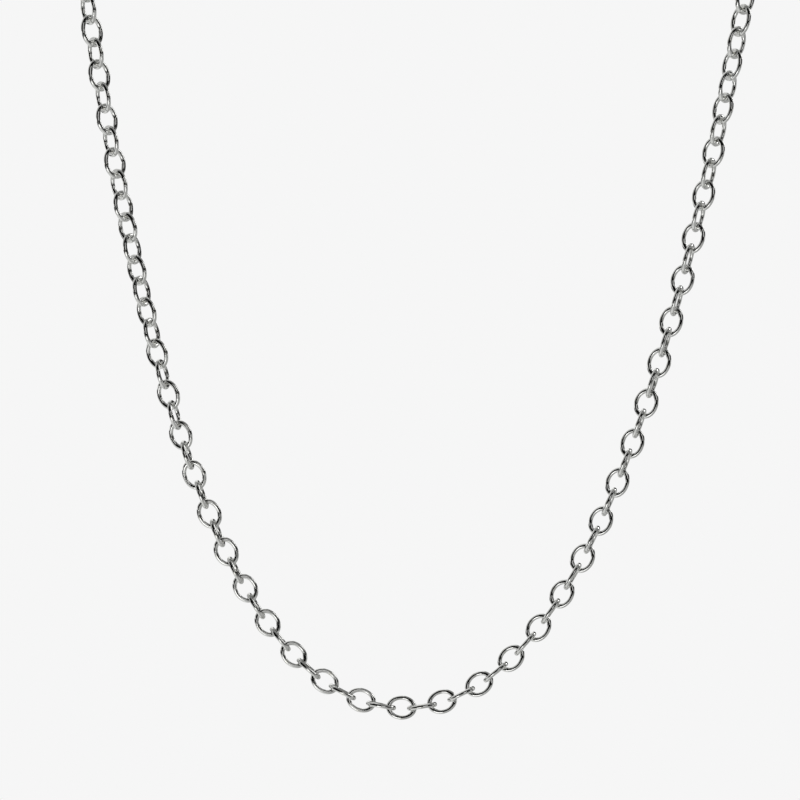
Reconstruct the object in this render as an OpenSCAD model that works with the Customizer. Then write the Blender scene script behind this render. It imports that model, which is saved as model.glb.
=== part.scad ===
// A cable chain necklace of oval wire links, each turned a quarter from the next.
// It hangs in a free curve at the front, bends back at both sides of the neck and runs
// round behind it in a half circle, where a plain spring ring clasp closes the loop.
// Millimetres. The front faces -Y and up is +Z. The origin is the middle of the loop's
// back, on the chain's centre line, where the necklace lies against the nape.

/* [Link] */
// Distance from one link's centre to the next along the chain
link_pitch = 3.4; // [3.4:0.05:3.6]
// Diameter of the round wire along a link's two long sides
wire_d = 0.65; // [0.5:0.05:0.7]
// Diameter of the wire round a link's two ends, where it is fullest
end_d = 0.8; // [0.7:0.05:0.85]
// Outer width of a link across its oval
link_w = 3.85; // [3.5:0.05:4.3]
// Free play between two links where one hangs in the other
link_play = 0.17; // [0.17:0.01:0.2]
// Flat sides that make up a link's oval
link_sides = 12; // [10:2:16]
// Flat sides that make up the wire's round
wire_sides = 5; // [5:1:6]

/* [Front] */
// Links on each side of the lowest one
links_each_side = 65; // [65:2:69]
// Length of chain on each side that hangs free at the front
front_run = 133; // [128:1:133]
// Radius of the front curve at its lowest point
bottom_r = 19.4; // [17:0.2:19.8]

/* [Back] */
// Radius of the bend from the rising front into the back stretch
bend_r = 8; // [7:0.5:8]
// Rise of the back stretch towards the nape, in degrees
back_tilt = 15; // [10:1:20]

/* [Clasp] */
// Outer diameter of the clasp's ring
ring_d = 6.6; // [6:0.2:8]
// Diameter of the tube that the clasp's ring is bent from
ring_tube = 1.2; // [1:0.1:1.4]
// Outer diameter of the eye that the chain's end link hangs in
eye_d = 3; // [2.8:0.1:3.4]
// Diameter of the eye's wire
eye_wire = 0.7; // [0.6:0.05:0.8]

/* [Hidden] */
silver = [0.80, 0.80, 0.79];

// Each row is a link's number, counted from the lowest link and positive to the right,
// and its roll about the chain in degrees. At no roll the even links face the front.
// A positive roll turns the front of an odd link towards the inside of the loop.
roll_table = [
    [-links_each_side, -90],
    [-38, -47],
    [-31, -46],
    [-28, -34],
    [-24, -31],
    [-21, -16],
    [-15, 0],
    [-9, 8],
    [0, 19],
    [13, 19],
    [23, 24],
    [28, 30],
    [31, 39],
    [35, 52],
    [38, 56],
    [links_each_side, 90]
];

// Half the inner length of a link, and half the length and width of its centre line
link_hole = (link_pitch + link_play) / 2;
oval_a = link_hole + end_d / 2;
oval_b = (link_w - wire_d) / 2;
// The flats of a link's outline touch the true oval, and its corners stand out from it
corner_out = 1 / cos(180 / link_sides);
// A flat-sided wire whose corners stand this many radii out has the round wire's weight
flat_out = sqrt(2 * PI / wire_sides / sin(360 / wire_sides));

// The clasp's ring and eye are soldered where their tubes meet
solder = eye_wire / 2;
ring_r = (ring_d - ring_tube) / 2;
eye_r = (eye_d - eye_wire) / 2;
ring_to_eye = ring_d / 2 + eye_d / 2 - solder;
// Half the distance between the two walls that the end links pull on
clasp_reach = (ring_to_eye + ring_r - ring_tube / 2 + eye_r - eye_wire / 2) / 2;

// Half of the closed loop, from the lowest link to the middle of the clasp
half_loop = (links_each_side + 0.5) * link_pitch + clasp_reach - link_play / 2;

right = [1, 0, 0];
front_face = [0, -1, 0];
back_way = [0, cos(back_tilt), sin(back_tilt)];
back_face = [0, -sin(back_tilt), cos(back_tilt)];

function unit(v) = v / norm(v);
function angle_of(length, r) = length / r * 180 / PI;
function asinh(x) = ln(x + sqrt(x * x + 1));

// A station on the right half of the chain's centre line is [point, way, face]. Its way
// points along the chain to the nape, and its face is where an even link's flat looks.
function hanging(s) = [
    [bottom_r * asinh(s / bottom_r), 0, sqrt(bottom_r * bottom_r + s * s) - bottom_r],
    unit([bottom_r, 0, s]),
    front_face
];

// Where an arc of radius r gets to from a point, turning from its way towards a side
function arc_point(p, way, side, r, turn) = p + r * (sin(turn) * way + (1 - cos(turn)) * side);
function arc_way(way, side, turn) = cos(turn) * way + sin(turn) * side;

front_end = hanging(front_run);
bend_turn = acos(front_end[1] * back_way);
bend_side = unit(back_way - (back_way * front_end[1]) * front_end[1]);
bend_end = arc_point(front_end[0], front_end[1], bend_side, bend_r, bend_turn);
neck_r = bend_end[0];
bend_length = bend_r * bend_turn * PI / 180;
neck_length = neck_r * PI / 2;
run_back = half_loop - front_run - bend_length - neck_length;
neck_start = bend_end + run_back * back_way;
nape = arc_point(neck_start, back_way, -right, neck_r, 90);

function bending(s) = let (
    turn = angle_of(s, bend_r),
    way = arc_way(front_end[1], bend_side, turn)
) [
    arc_point(front_end[0], front_end[1], bend_side, bend_r, turn),
    way,
    cross(unit(right - way[0] * way), way)
];

function behind(s) = let (turn = angle_of(s, neck_r)) [
    arc_point(neck_start, back_way, -right, neck_r, turn),
    arc_way(back_way, -right, turn),
    back_face
];

function station(s) =
    s < front_run ? hanging(s) :
    s < front_run + bend_length ? bending(s - front_run) :
    s < front_run + bend_length + run_back ?
        [bend_end + (s - front_run - bend_length) * back_way, back_way, back_face] :
    behind(s - front_run - bend_length - run_back);

// The left half mirrors the right one
function mirrored(v, left) = left ? [-v[0], v[1], v[2]] : v;
function line_point(s) = mirrored(station(abs(s))[0] - nape, s < 0);

// A link spans the two points where it meets its neighbours. Its frame is its centre,
// the way along it and the way across its oval.
function link_frame(i) = let (
    from = line_point((i - 0.5) * link_pitch),
    to = line_point((i + 0.5) * link_pitch),
    along = unit(to - from),
    path_face = mirrored(station(abs(i) * link_pitch)[2], i < 0),
    face = unit(path_face - (path_face * along) * along),
    inward = cross(face, along),
    roll = lookup(i, roll_table),
    odd = i % 2 != 0,
    across = odd ? cos(roll) * face + sin(roll) * inward : cos(roll) * inward - sin(roll) * face
) [(from + to) / 2, along, across];

// The wire's rings of points, one at each corner of the link's outline. Both ends of the
// link are flats, where its neighbours hang clear.
function link_points(i) = let (
    frame = link_frame(i),
    normal = cross(frame[1], frame[2])
) [
    for (j = [0 : link_sides - 1])
    let (
        turn = 360 * (j + 0.5) / link_sides,
        outward = unit([oval_b * cos(turn), oval_a * sin(turn)]),
        wire_r = flat_out * (wire_d + (end_d - wire_d) * pow(cos(turn), 2)) / 2
    )
    for (k = [0 : wire_sides - 1])
    let (
        out = wire_r * cos(360 * k / wire_sides),
        up = wire_r * sin(360 * k / wire_sides)
    )
    frame[0]
        + (corner_out * oval_a * cos(turn) + out * outward[0]) * frame[1]
        + (corner_out * oval_b * sin(turn) + out * outward[1]) * frame[2]
        + up * normal
];

// The triangles between each ring of points and the next, for a number of links
function link_faces(count) = [
    for (n = [0 : count - 1])
    for (j = [0 : link_sides - 1])
    for (k = [0 : wire_sides - 1])
    let (
        first = n * link_sides * wire_sides,
        ring = first + j * wire_sides,
        next_ring = first + (j + 1) % link_sides * wire_sides,
        next_k = (k + 1) % wire_sides
    )
    each [
        [ring + k, next_ring + next_k, next_ring + k],
        [ring + k, ring + next_k, next_ring + next_k]
    ]
];

// A run of interlocking links, each a closed wire clear of its neighbours
module links(first, last) {
    polyhedron(
        points = [for (i = [first : last]) each link_points(i)],
        faces = link_faces(last - first + 1)
    );
}

// From the clasp's ring down to the lowest link of all
module chain_left() {
    color(silver) links(-links_each_side, 0);
}

// From the lowest link's neighbour up to the clasp's eye
module chain_right() {
    color(silver) links(1, links_each_side);
}

module wire_ring(r, wire) {
    rotate_extrude($fn = 96) translate([r, 0]) circle(d = wire, $fn = 48);
}

// A closed ring lying flat against the nape, with its eye soldered on
module clasp() {
    ring_x = -clasp_reach + ring_r - ring_tube / 2;
    color(silver) rotate([back_tilt - 90, 0, 0]) union() {
        translate([ring_x, 0, 0]) wire_ring(ring_r, ring_tube);
        translate([ring_x + ring_to_eye, 0, 0]) wire_ring(eye_r, eye_wire);
    }
}

chain_left();
chain_right();
clasp();
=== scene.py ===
import math

import bmesh
import bpy
import numpy as np
from mathutils import Matrix, Vector


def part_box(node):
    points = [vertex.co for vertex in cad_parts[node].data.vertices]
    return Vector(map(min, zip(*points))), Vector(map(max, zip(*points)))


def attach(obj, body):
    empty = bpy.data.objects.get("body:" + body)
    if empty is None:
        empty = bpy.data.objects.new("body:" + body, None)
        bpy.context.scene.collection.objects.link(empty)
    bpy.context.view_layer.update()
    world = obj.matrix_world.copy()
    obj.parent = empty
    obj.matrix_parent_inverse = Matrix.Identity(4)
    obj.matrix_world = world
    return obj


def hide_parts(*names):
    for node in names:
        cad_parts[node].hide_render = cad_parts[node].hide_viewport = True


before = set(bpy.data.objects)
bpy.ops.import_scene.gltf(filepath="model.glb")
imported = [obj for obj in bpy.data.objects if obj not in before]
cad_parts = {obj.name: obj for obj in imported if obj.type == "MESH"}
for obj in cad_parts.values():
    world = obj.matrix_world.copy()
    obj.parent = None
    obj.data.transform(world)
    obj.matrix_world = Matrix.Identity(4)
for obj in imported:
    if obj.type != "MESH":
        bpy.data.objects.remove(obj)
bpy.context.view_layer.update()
scene = bpy.context.scene


# Links of the chain
# Each link is an oval bent from round sterling silver wire. Its ends meet in a soldered seam on
# one long side, and the finished chain is tumbled bright. It stands where its CAD link does.

MM = 1e-3

# The wire's radius along a link's two sides and round its two ends, and the oval's middle line
WIRE_R = 0.325 * MM
END_R = 0.40 * MM
LINK_INNER_LENGTH = 3.42 * MM
LINK_WIDTH = 3.85 * MM
OVAL_A = LINK_INNER_LENGTH / 2 + END_R
OVAL_B = LINK_WIDTH / 2 - WIRE_R
STATIONS_ALONG = 56
POINTS_ROUND = 18
RING_POINTS = STATIONS_ALONG * POINTS_ROUND

# Corners of a CAD link that are nearer than this are one corner
WELD = 0.002 * MM

# Worn and soldered places, as shares of the wire's radius and as widths along the wire
SEAM_BULGE = 0.05
SEAM_WIDTH = 0.28 * MM
BEARING_WEAR = 0.05
BEARING_WIDTH = 0.45 * MM
HAND_WAVE = 0.012
HAND_WAVES = 3

# How far the links differ from each other and lean towards a true front-to-back stand
LEAN = math.radians(2.0)
LEAN_SPREAD = math.radians(0.9)
SWING_SPREAD = math.radians(0.5)
OVAL_SPREAD = 0.008


def loose_links(node):
    """The place of each link of a CAD node, lowest first, as a 4x4 matrix: x along, y across."""
    shell = bmesh.new()
    shell.from_mesh(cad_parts[node].data)
    bmesh.ops.remove_doubles(shell, verts=shell.verts, dist=WELD)
    waiting = set(shell.verts)
    places = []
    for vert in list(shell.verts):
        if vert not in waiting:
            continue
        waiting.discard(vert)
        link = [vert]
        for known in link:
            for edge in known.link_edges:
                other = edge.other_vert(known)
                if other in waiting:
                    waiting.discard(other)
                    link.append(other)
        places.append(link_place(np.array([known.co for known in link])))
    shell.free()
    return sorted(places, key=lambda place: place[2, 3])


def link_place(points):
    """Where the link with these corners stands: its longest spread is along, the next across."""
    centre = points.mean(0)
    spread = (points - centre).T @ (points - centre)
    axes = np.linalg.eigh(spread)[1]
    along, across = axes[:, 2], axes[:, 1]
    if along[2] < 0:
        along = -along
    if across[0] < 0:
        across = -across
    place = np.eye(4)
    place[:3, 0] = along
    place[:3, 1] = across
    place[:3, 2] = np.cross(along, across)
    place[:3, 3] = centre
    return place


def settled(place, chance):
    """Turns a link a little about its own length and in its own plane, as it hangs in reality."""
    lean = LEAN + chance.normal(0, LEAN_SPREAD)
    if place[1, 1] * place[1, 2] < 0:
        lean = -lean
    turn = Matrix.Rotation(lean, 4, "X") @ Matrix.Rotation(chance.normal(0, SWING_SPREAD), 4, "Z")
    return place @ np.array(turn)


def link_wire(place, chance):
    """Rings of points round one link's wire, and how near each is to the seam and the bearings."""
    turn = np.arange(STATIONS_ALONG) * 2 * math.pi / STATIONS_ALONG
    spoke = np.arange(POINTS_ROUND) * 2 * math.pi / POINTS_ROUND
    squash = chance.normal(0, OVAL_SPREAD)
    a, b = OVAL_A * (1 - squash / 4), OVAL_B * (1 + squash)
    centre = np.stack([a * np.cos(turn), b * np.sin(turn)], 1)
    outward = np.stack([b * np.cos(turn), a * np.sin(turn)], 1)
    outward /= np.linalg.norm(outward, axis=1)[:, None]

    seam_side = chance.choice([-1, 1])
    seam_gap = np.hypot(centre[:, 0], centre[:, 1] - seam_side * b)
    seam = np.exp(-((seam_gap / SEAM_WIDTH) ** 2))[:, None] * np.ones(POINTS_ROUND)
    end_gap = np.hypot(a - np.abs(centre[:, 0]), centre[:, 1])
    inner = np.clip(-np.cos(spoke), 0, 1) ** 2
    bearing = np.exp(-((end_gap / BEARING_WIDTH) ** 2))[:, None] * inner

    phase = chance.uniform(0, 2 * math.pi, HAND_WAVES)
    wave = sum(
        np.sin((2 + n) * turn[:, None] + (1 + n % 2) * spoke + phase[n]) for n in range(HAND_WAVES)
    ) / HAND_WAVES
    fullness = WIRE_R + (END_R - WIRE_R) * np.cos(turn[:, None]) ** 2
    radius = fullness * (1 + SEAM_BULGE * seam - BEARING_WEAR * bearing + HAND_WAVE * wave)
    out = radius * np.cos(spoke)
    up = radius * np.sin(spoke)
    points = np.concatenate([centre[:, None, :] + out[..., None] * outward[:, None, :], up[..., None]], 2)
    return points @ place[:3, :3].T + place[:3, 3], seam, bearing


# The wire's length, by the usual formula for an oval's girth, and the girth of the wire itself
WIRE_LENGTH = math.pi * (3 * (OVAL_A + OVAL_B) - math.sqrt((3 * OVAL_A + OVAL_B) * (OVAL_A + 3 * OVAL_B)))
WIRE_GIRTH = 2 * math.pi * WIRE_R
BAKE_COLUMNS = 3
BAKE_MARGIN = 0.04


def wire_grid():
    """The station and the spoke of each quad on one link's wire, as two tables."""
    return np.meshgrid(np.arange(STATIONS_ALONG), np.arange(POINTS_ROUND), indexing="ij")


def add_maps(mesh, count):
    """Lays each link's wire out flat: in millimetres, and in a cell of its own for the bake."""
    station, spoke = wire_grid()
    corners = ((0, 0), (1, 0), (1, 1), (0, 1))
    u = np.stack([(station + du) / STATIONS_ALONG for du, dv in corners], 2).ravel()
    v = np.stack([(spoke + dv) / POINTS_ROUND for du, dv in corners], 2).ravel()
    wire = mesh.uv_layers.new(name="wire")
    flat = np.stack([u * WIRE_LENGTH / MM, v * WIRE_GIRTH / MM], 1)
    wire.data.foreach_set("uv", np.tile(flat, (count, 1)).ravel())
    bake = mesh.uv_layers.new(name="OFBake")
    rows = math.ceil(count / BAKE_COLUMNS)
    inside = BAKE_MARGIN + (1 - 2 * BAKE_MARGIN) * np.stack([u, v], 1)
    cells = [(inside + (n % BAKE_COLUMNS, n // BAKE_COLUMNS)) / (BAKE_COLUMNS, rows) for n in range(count)]
    bake.data.foreach_set("uv", np.concatenate(cells).ravel())


def add_values(mesh, name, values):
    """Gives each point of a mesh its value, for the silver to read."""
    layer = mesh.attributes.new(name, "FLOAT", "POINT")
    layer.data.foreach_set("value", np.asarray(values, dtype=float).ravel())


def chain_run(name, node, seed):
    """The run of wire links that stands for one CAD node of the chain."""
    chance = np.random.default_rng(seed)
    wires = [link_wire(settled(place, chance), chance) for place in loose_links(node)]
    station, spoke = wire_grid()
    next_station = (station + 1) % STATIONS_ALONG
    next_spoke = (spoke + 1) % POINTS_ROUND
    quads = np.stack([
        station * POINTS_ROUND + spoke,
        next_station * POINTS_ROUND + spoke,
        next_station * POINTS_ROUND + next_spoke,
        station * POINTS_ROUND + next_spoke,
    ], 2).reshape(-1, 4)
    points = np.concatenate([wire[0].reshape(-1, 3) for wire in wires])
    faces = np.concatenate([quads + RING_POINTS * n for n in range(len(wires))])
    mesh = bpy.data.meshes.new(name)
    mesh.from_pydata(points.tolist(), [], faces.tolist())
    mesh.shade_smooth()
    add_maps(mesh, len(wires))
    add_values(mesh, "seam", [wire[1] for wire in wires])
    add_values(mesh, "bearing", [wire[2] for wire in wires])
    add_values(mesh, "link_tone", np.repeat(chance.uniform(0, 1, len(wires)), RING_POINTS))
    piece = bpy.data.objects.new(name, mesh)
    scene.collection.objects.link(piece)
    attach(piece, "root")
    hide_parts(node)
    return piece


class Wiring:
    """Adds nodes to a material, a group or the room and joins them."""

    def __init__(self, tree):
        self.tree = tree

    def node(self, kind, settings=None, **inputs):
        made = self.tree.nodes.new(kind)
        for key, value in (settings or {}).items():
            setattr(made, key, value)
        for key, value in inputs.items():
            self.feed(made, key.replace("_", " "), value)
        return made

    def feed(self, node, key, value):
        """Joins a socket to an input, or sets the input's own value. A number names it by place."""
        socket = node.inputs[int(key)] if key.isdigit() else node.inputs[key]
        if isinstance(value, bpy.types.NodeSocket):
            self.tree.links.new(value, socket)
        else:
            socket.default_value = value

    def maths(self, kind, first, second):
        made = self.node("ShaderNodeMath", {"operation": kind})
        self.feed(made, "0", first)
        self.feed(made, "1", second)
        return made.outputs["Value"]

    def spread(self, value, lowest, highest, first=0.0, last=1.0, shape="LINEAR"):
        """Turns lowest to highest into first to last, and holds what lies outside."""
        made = self.node("ShaderNodeMapRange", {"interpolation_type": shape}, Value=value)
        for key, bound in (("From Min", lowest), ("From Max", highest), ("To Min", first), ("To Max", last)):
            self.feed(made, key, bound)
        return made.outputs["Result"]

    def blend(self, share, first, second):
        """A colour between two others, each of them a socket or three numbers."""
        made = self.node("ShaderNodeMix", {"data_type": "RGBA"}, Factor=share)
        for key, colour in (("6", first), ("7", second)):
            self.feed(made, key, colour if isinstance(colour, bpy.types.NodeSocket) else colour + (1,))
        return made.outputs[2]


def node_group(name, wanted, given):
    """A node group with its named sockets, ready to be filled."""
    group = bpy.data.node_groups.new(name, "ShaderNodeTree")
    for socket, kind in wanted:
        group.interface.new_socket(socket, in_out="INPUT", socket_type=kind)
    for socket, kind in given:
        group.interface.new_socket(socket, in_out="OUTPUT", socket_type=kind)
    return Wiring(group), group.nodes.new("NodeGroupInput"), group.nodes.new("NodeGroupOutput")


# Tumbling leaves shallow dents and tiny pits in the bright skin, and scuffs between them. A
# pit's floor and rim are distances from its middle, in pits. Scuffs are where the noise is high.
PITS_PER_DENT = 1.7
PIT_FLOOR = 0.10
PIT_RIM = 0.42
SCUFFS_PER_MM = 1.3
SCUFFS_BEGIN = 0.48
SCUFFS_FULL = 0.70

tumbling, asked, told = node_group(
    "tumbling",
    (("Place", "NodeSocketVector"), ("Dents per mm", "NodeSocketFloat"), ("Pits", "NodeSocketFloat")),
    (("Height", "NodeSocketFloat"), ("Scuffs", "NodeSocketFloat")),
)
dents = tumbling.node(
    "ShaderNodeTexNoise",
    Vector=asked.outputs["Place"], Scale=asked.outputs["Dents per mm"], Detail=2.0, Roughness=0.55,
)
pits = tumbling.node(
    "ShaderNodeTexVoronoi", {"feature": "SMOOTH_F1"},
    Vector=asked.outputs["Place"], Smoothness=0.6,
    Scale=tumbling.maths("MULTIPLY", asked.outputs["Dents per mm"], PITS_PER_DENT),
)
hollow = tumbling.spread(pits.outputs["Distance"], PIT_FLOOR, PIT_RIM, shape="SMOOTHSTEP")
sunk = tumbling.maths("MULTIPLY", hollow, asked.outputs["Pits"])
tumbling.feed(told, "Height", tumbling.maths("ADD", dents.outputs["Fac"], sunk))
scuffs = tumbling.node(
    "ShaderNodeTexNoise",
    Vector=asked.outputs["Place"], Scale=SCUFFS_PER_MM, Detail=4.0, Roughness=0.7,
)
scuffed = tumbling.spread(scuffs.outputs["Fac"], SCUFFS_BEGIN, SCUFFS_FULL, shape="SMOOTHSTEP")
tumbling.feed(told, "Scuffs", scuffed)

# Bright silver goes grey and faintly yellow where polishing never reaches
BRIGHT_SILVER = (0.955, 0.957, 0.950)
DULLER_SILVER = (0.895, 0.898, 0.885)
STAINED_SILVER = (0.62, 0.60, 0.50)
CLOUDS_PER_MM = 0.9
CLOUDS_BEGIN = 0.35
CLOUDS_FULL = 0.70
LEAST_STAIN = 0.15

tarnish, asked, told = node_group(
    "tarnish",
    (("Recess", "NodeSocketFloat"), ("Tone", "NodeSocketFloat"), ("Place", "NodeSocketVector")),
    (("Color", "NodeSocketColor"),),
)
clean = tarnish.blend(asked.outputs["Tone"], BRIGHT_SILVER, DULLER_SILVER)
clouds = tarnish.node(
    "ShaderNodeTexNoise",
    Vector=asked.outputs["Place"], Scale=CLOUDS_PER_MM, Detail=3.0, Roughness=0.6,
)
clouded = tarnish.spread(clouds.outputs["Fac"], CLOUDS_BEGIN, CLOUDS_FULL, LEAST_STAIN)
stained = tarnish.blend(
    tarnish.maths("MULTIPLY", clouded, asked.outputs["Recess"]), clean, STAINED_SILVER
)
tarnish.feed(told, "Color", stained)


def silver(name):
    """A polished silver, its wiring, its shader, and its surface's place in millimetres."""
    metal = bpy.data.materials.new(name)
    metal.use_nodes = True
    wiring = Wiring(metal.node_tree)
    shader = metal.node_tree.nodes["Principled BSDF"]
    wiring.feed(shader, "Metallic", 1.0)
    where = wiring.node("ShaderNodeTexCoord")
    place = wiring.node(
        "ShaderNodeVectorMath", {"operation": "SCALE"}, Vector=where.outputs["Object"], Scale=1 / MM
    )
    return metal, wiring, shader, place.outputs["Vector"]


# The links' marks: dents and pits by their depth, and fine drawing streaks along the wire,
# which are long and narrow and differ from link to link
LINK_DENT_DEPTH = 0.008 * MM
LINK_DENTS_PER_MM = 1.9
LINK_PITS = 0.35
LINK_STREAK_DEPTH = 0.002 * MM
STREAKS_PER_MM = (0.5, 14, 1)
STREAK_SHIFT = 50.0
SEAM_STAIN = 0.5
LINK_ROUGHNESS = 0.04
SCUFFED_ROUGHNESS = 0.12

link_silver, wiring, shader, place = silver("tumbled_silver")
marks = wiring.node(
    "ShaderNodeGroup", {"node_tree": tumbling.tree},
    Place=place, Dents_per_mm=LINK_DENTS_PER_MM, Pits=LINK_PITS,
)
tone = wiring.node("ShaderNodeAttribute", {"attribute_name": "link_tone"})
bearing = wiring.node("ShaderNodeAttribute", {"attribute_name": "bearing"})
seam = wiring.node("ShaderNodeAttribute", {"attribute_name": "seam"})
seam_stain = wiring.maths("MULTIPLY", seam.outputs["Fac"], SEAM_STAIN)
stain = wiring.node(
    "ShaderNodeGroup", {"node_tree": tarnish.tree},
    Place=place, Tone=tone.outputs["Fac"],
    Recess=wiring.maths("MAXIMUM", bearing.outputs["Fac"], seam_stain),
)
wiring.feed(shader, "Base Color", stain.outputs["Color"])

wire_map = wiring.node("ShaderNodeUVMap", {"uv_map": "wire"})
shift = wiring.node("ShaderNodeCombineXYZ", Z=wiring.maths("MULTIPLY", tone.outputs["Fac"], STREAK_SHIFT))
stretched = wiring.node(
    "ShaderNodeMapping",
    Vector=wire_map.outputs["UV"], Location=shift.outputs["Vector"], Scale=STREAKS_PER_MM,
)
streaks = wiring.node("ShaderNodeTexNoise", Vector=stretched.outputs["Vector"], Scale=1.0, Detail=3.0)
streak_height = wiring.maths("MULTIPLY", streaks.outputs["Fac"], LINK_STREAK_DEPTH / LINK_DENT_DEPTH)
relief = wiring.node(
    "ShaderNodeBump",
    Height=wiring.maths("ADD", marks.outputs["Height"], streak_height),
    Strength=1.0, Distance=LINK_DENT_DEPTH,
)
wiring.feed(shader, "Normal", relief.outputs["Normal"])
dullness = wiring.spread(marks.outputs["Scuffs"], 0, 1, LINK_ROUGHNESS, SCUFFED_ROUGHNESS)
wiring.feed(shader, "Roughness", dullness)

for name, node, seed in (("left_run", "chain_left", 11), ("right_run", "chain_right", 12)):
    run = chain_run(name, node, seed)
    run.data.materials.append(link_silver)


# Clasp
# A closed ring of sterling tube with a small wire eye soldered to it, the plain form of a
# spring ring. The solder runs into a smooth fillet where the two touch.

RING_D = 6.6 * MM
RING_TUBE = 1.2 * MM
EYE_D = 3.0 * MM
EYE_WIRE = 0.7 * MM
BACK_TILT = math.radians(15)
FILLET = 0.45 * MM

# The ring and the eye as rough tubes, the voxels that fuse them, and the rounds of fitting
TUBE_STATIONS = 64
TUBE_SIDES = 24
VOXEL = 0.065 * MM
FITTING_ROUNDS = 8
FITTING_STEP = VOXEL / 100

# Middle of each tube along the ring and the eye, its ring's radius and its own radius
clasp_low, clasp_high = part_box("clasp")
RINGS = (
    (clasp_low[0] + RING_D / 2, (RING_D - RING_TUBE) / 2, RING_TUBE / 2),
    (clasp_high[0] - EYE_D / 2, (EYE_D - EYE_WIRE) / 2, EYE_WIRE / 2),
)


def clasp_depth(points):
    """Distance from the soldered surface, below zero inside, with the fillet as a smooth union."""
    ring, eye = (
        np.hypot(np.hypot(points[:, 0] - x, points[:, 1]) - r, points[:, 2]) - tube
        for x, r, tube in RINGS
    )
    share = np.clip(0.5 + 0.5 * (eye - ring) / FILLET, 0, 1)
    return eye + (ring - eye) * share - FILLET * share * (1 - share)


def add_tube(shell, x, r, tube):
    """A closed tube with its middle at x, in millimetres, for the voxels to fuse."""
    verts = [
        shell.verts.new((
            (x + (r + tube * math.cos(v)) * math.cos(u)) / MM,
            (r + tube * math.cos(v)) * math.sin(u) / MM,
            tube * math.sin(v) / MM,
        ))
        for u in (2 * math.pi * i / TUBE_STATIONS for i in range(TUBE_STATIONS))
        for v in (2 * math.pi * j / TUBE_SIDES for j in range(TUBE_SIDES))
    ]
    for i in range(TUBE_STATIONS):
        for j in range(TUBE_SIDES):
            next_i = (i + 1) % TUBE_STATIONS
            next_j = (j + 1) % TUBE_SIDES
            corners = ((i, j), (next_i, j), (next_i, next_j), (i, next_j))
            shell.faces.new([verts[a * TUBE_SIDES + b] for a, b in corners])


def clasp_mesh(name):
    """The two tubes fused by a fine remesh in millimetres, then fitted to the soldered surface."""
    rough = bmesh.new()
    for x, r, tube in RINGS:
        add_tube(rough, x, r, tube)
    rough_mesh = bpy.data.meshes.new(name + "_rough")
    rough.to_mesh(rough_mesh)
    rough.free()
    blank = bpy.data.objects.new(name + "_rough", rough_mesh)
    scene.collection.objects.link(blank)
    fusing = blank.modifiers.new("fuse", "REMESH")
    fusing.mode = "VOXEL"
    fusing.voxel_size = VOXEL / MM
    mesh = bpy.data.meshes.new_from_object(blank.evaluated_get(bpy.context.evaluated_depsgraph_get()))
    bpy.data.objects.remove(blank)
    mesh.name = name
    points = np.empty(len(mesh.vertices) * 3)
    mesh.vertices.foreach_get("co", points)
    points = points.reshape(-1, 3) * MM
    for _ in range(FITTING_ROUNDS):
        depth = clasp_depth(points)
        slope = np.stack([
            clasp_depth(points + way) - clasp_depth(points - way) for way in FITTING_STEP * np.eye(3)
        ], 1)
        slope /= np.linalg.norm(slope, axis=1)[:, None]
        points -= depth[:, None] * slope
    tilt = np.array(Matrix.Rotation(BACK_TILT - math.pi / 2, 3, "X"))
    mesh.vertices.foreach_set("co", (points @ tilt.T).ravel())
    mesh.shade_smooth()
    return mesh


clasp = bpy.data.objects.new("spring_ring", clasp_mesh("spring_ring"))
scene.collection.objects.link(clasp)
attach(clasp, "root")
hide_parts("clasp")

# The clasp's marks are wider and softer than the links', and the solder is stained to a little
# way off on both sides
CLASP_DENT_DEPTH = 0.010 * MM
CLASP_DENTS_PER_MM = 0.9
CLASP_PITS = 0.15
CLASP_TONE = 0.4
SOLDER_STAIN = 0.8
SOLDER_FULL_MM = 0.2
SOLDER_END_MM = 0.9
CLASP_ROUGHNESS = 0.06
CLASP_SCUFFED_ROUGHNESS = 0.22

clasp_silver, wiring, shader, place = silver("clasp_silver")
marks = wiring.node(
    "ShaderNodeGroup", {"node_tree": tumbling.tree},
    Place=place, Dents_per_mm=CLASP_DENTS_PER_MM, Pits=CLASP_PITS,
)
seat = wiring.node("ShaderNodeSeparateXYZ", Vector=place)
solder_x = (RINGS[0][0] + RING_D / 2) / MM
from_solder = wiring.maths("ABSOLUTE", wiring.maths("SUBTRACT", seat.outputs["X"], solder_x), 0.0)
near_solder = wiring.spread(from_solder, SOLDER_FULL_MM, SOLDER_END_MM, SOLDER_STAIN, 0.0, "SMOOTHSTEP")
stain = wiring.node(
    "ShaderNodeGroup", {"node_tree": tarnish.tree}, Place=place, Tone=CLASP_TONE, Recess=near_solder
)
wiring.feed(shader, "Base Color", stain.outputs["Color"])
relief = wiring.node(
    "ShaderNodeBump", Height=marks.outputs["Height"], Strength=1.0, Distance=CLASP_DENT_DEPTH
)
wiring.feed(shader, "Normal", relief.outputs["Normal"])
dullness = wiring.spread(marks.outputs["Scuffs"], 0, 1, CLASP_ROUGHNESS, CLASP_SCUFFED_ROUGHNESS)
wiring.feed(shader, "Roughness", dullness)
clasp.data.materials.append(clasp_silver)


# Studio
# The necklace hangs before a pale wall and above a plain pale floor, in a soft grey room that
# is darker overhead. Lamps and black flags stand round it, out of the lens's view.

# How bright the wall and the floor look to the lens, and the room's tones in the silver
WHITE_SHOWN = 0.922
ROOM_SIDES = (0.390, 0.392, 0.384)
ROOM_OVERHEAD = (0.190, 0.191, 0.187)
ROOM_BELOW_LEFT = (0.690, 0.695, 0.680)
ROOM_BELOW_RIGHT = (0.340, 0.342, 0.335)

# How far to either side the lower room goes over from its left tone to its right one
SIDE_BLEND = 0.2

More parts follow.
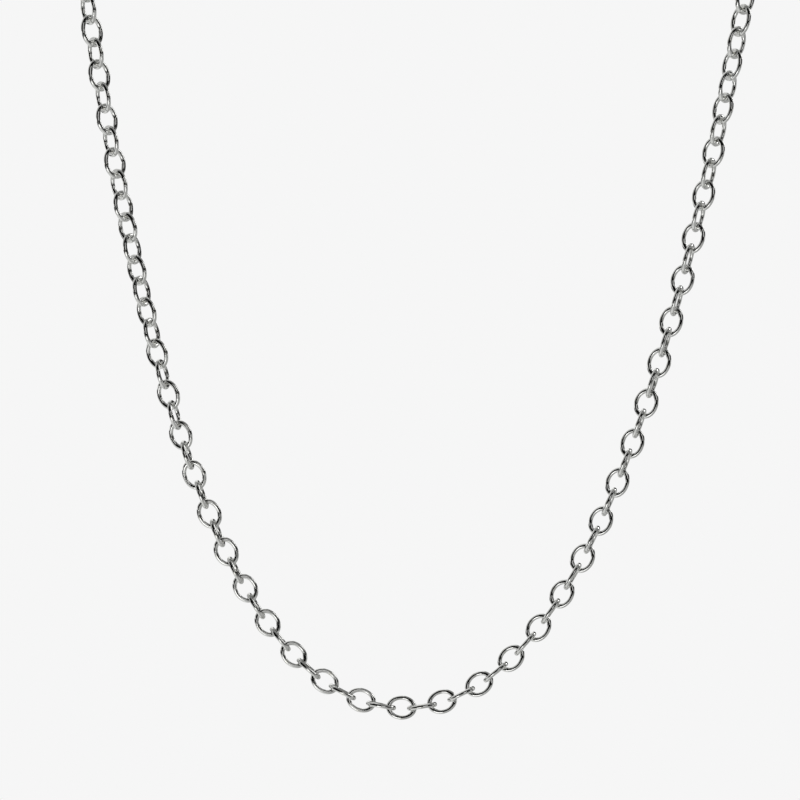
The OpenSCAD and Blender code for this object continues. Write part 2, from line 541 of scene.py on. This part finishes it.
# In metres: the front curve's middle, that the cards face, the first card's distance, and how
# much farther off each next one stands
STUDIO_CENTRE = Vector((0, -0.058, -0.07))
CARD_DISTANCE = 1.8
CARD_STEP = 0.02
CARD_TINT = (1.0, 1.0, 0.985)
FLOOR_HEIGHT = -0.5
FLOOR_SIDE = 6.0

scene.view_settings.view_transform = "Standard"
world = bpy.data.worlds.new("studio_room")
scene.world = world
world.use_nodes = True
room = Wiring(world.node_tree)
way = room.node("ShaderNodeSeparateXYZ", Vector=room.node("ShaderNodeTexCoord").outputs["Generated"])
to_the_right = room.spread(way.outputs["X"], -SIDE_BLEND, SIDE_BLEND)
below = room.blend(to_the_right, ROOM_BELOW_LEFT, ROOM_BELOW_RIGHT)
lower_half = room.blend(room.spread(way.outputs["Z"], 0, -1), ROOM_SIDES, below)
walls = room.blend(room.spread(way.outputs["Z"], 0, 1), lower_half, ROOM_OVERHEAD)
lit_room = room.node("ShaderNodeBackground", Color=walls)
shown = room.node("ShaderNodeBackground", Color=(WHITE_SHOWN, WHITE_SHOWN, WHITE_SHOWN, 1))
either = room.node("ShaderNodeMixShader", Fac=room.node("ShaderNodeLightPath").outputs["Is Camera Ray"])
room.feed(either, "1", lit_room.outputs["Background"])
room.feed(either, "2", shown.outputs["Background"])
room.feed(world.node_tree.nodes["World Output"], "Surface", either.outputs["Shader"])


def sheet(name, half_wide, half_high, colour):
    """A flat sheet that shines by itself, so that no lamp's falloff or shadow falls on it."""
    mesh = bpy.data.meshes.new(name)
    corners = ((-1, -1), (1, -1), (1, 1), (-1, 1))
    mesh.from_pydata([(x * half_wide, y * half_high, 0) for x, y in corners], [], [(0, 1, 2, 3)])
    paint = bpy.data.materials.new(name)
    paint.use_nodes = True
    paint.node_tree.nodes.remove(paint.node_tree.nodes["Principled BSDF"])
    wiring = Wiring(paint.node_tree)
    lit = wiring.node("ShaderNodeEmission", Color=colour + (1,))
    wiring.feed(paint.node_tree.nodes["Material Output"], "Surface", lit.outputs["Emission"])
    mesh.materials.append(paint)
    made = bpy.data.objects.new(name, mesh)
    scene.collection.objects.link(made)
    return made


# Each card's azimuth and elevation from the necklace (azimuth 0 is the lens's side, positive to
# the right), half its width and half its height, all in degrees, and its light. First is nearest.
CARDS = (
    ("lamp_over_lens", 20, 20, 12, 14, 0.75),
    ("lamp_under_lens", -14, -24, 10, 9, 2.1),
    ("strip_left", -100, -4, 26, 5, 1.0),
    ("strip_right", 100, -4, 35, 5, 0.6),
    ("window_left", -110, 40, 30, 22, 0.5),
    ("window_right", 120, 24, 9, 11, 2.75),
    ("flag_left", -50, -6, 32, 19, 0.005),
    ("flag_right", 53, 6, 17, 24, 0.005),
    ("flag_lens", -15, 5, 50, 11, 0.005),
    ("flag_over", -10, 33, 60, 38, 0.005),
    ("flag_rear_left", -122, -16, 25, 8, 0.005),
    ("flag_rear_right", 125, 14, 48, 20, 0.02),
    ("wall_behind", 197, 28, 20, 42, 0.83),
)
for count, (name, azimuth, elevation, half_wide, half_high, light) in enumerate(CARDS):
    distance = CARD_DISTANCE + CARD_STEP * count
    turn, rise = math.radians(azimuth), math.radians(elevation)
    out = Vector((math.sin(turn) * math.cos(rise), -math.cos(turn) * math.cos(rise), math.sin(rise)))
    card = sheet(
        name,
        distance * math.tan(math.radians(half_wide)),
        distance * math.tan(math.radians(half_high)),
        tuple(light * tint for tint in CARD_TINT),
    )
    facing = (-out).to_track_quat("Z", "Y").to_matrix().to_4x4()
    card.matrix_world = Matrix.Translation(STUDIO_CENTRE + distance * out) @ facing
    card.visible_camera = False

floor = sheet("floor", FLOOR_SIDE / 2, FLOOR_SIDE / 2, (WHITE_SHOWN, WHITE_SHOWN, WHITE_SHOWN))
floor.location = (0, 0, FLOOR_HEIGHT)
floor.visible_glossy = False


# Camera
# It stands a quarter of a metre before the chain and looks slightly down, as the photo does.
# The focal length is in the photo's pixels, and the two turns are in radians.

PHOTO_SIDE_PX = 800
FOCAL_PX = 1572.8
SENSOR_MM = 36
LOOK_DOWN = 0.14246
CAMERA_ROLL = 0.01824
EYE = Vector((-1.168, -306.05, -49.674)) * MM

camera_data = bpy.data.cameras.new("camera")
camera_data.sensor_width = SENSOR_MM
camera_data.lens = SENSOR_MM * FOCAL_PX / PHOTO_SIDE_PX
camera_data.clip_start = 0.01
camera_data.clip_end = 50
camera = bpy.data.objects.new("camera", camera_data)
scene.collection.objects.link(camera)
forward = Vector((0, math.cos(LOOK_DOWN), -math.sin(LOOK_DOWN)))
side = forward.cross(Vector((0, 0, 1))).normalized()
above = side.cross(forward)
rolled_side = math.cos(CAMERA_ROLL) * side + math.sin(CAMERA_ROLL) * above
rolled_above = -math.sin(CAMERA_ROLL) * side + math.cos(CAMERA_ROLL) * above
turned = Matrix((rolled_side, rolled_above, -forward)).transposed().to_4x4()
camera.matrix_world = Matrix.Translation(EYE) @ turned
scene.camera = camera
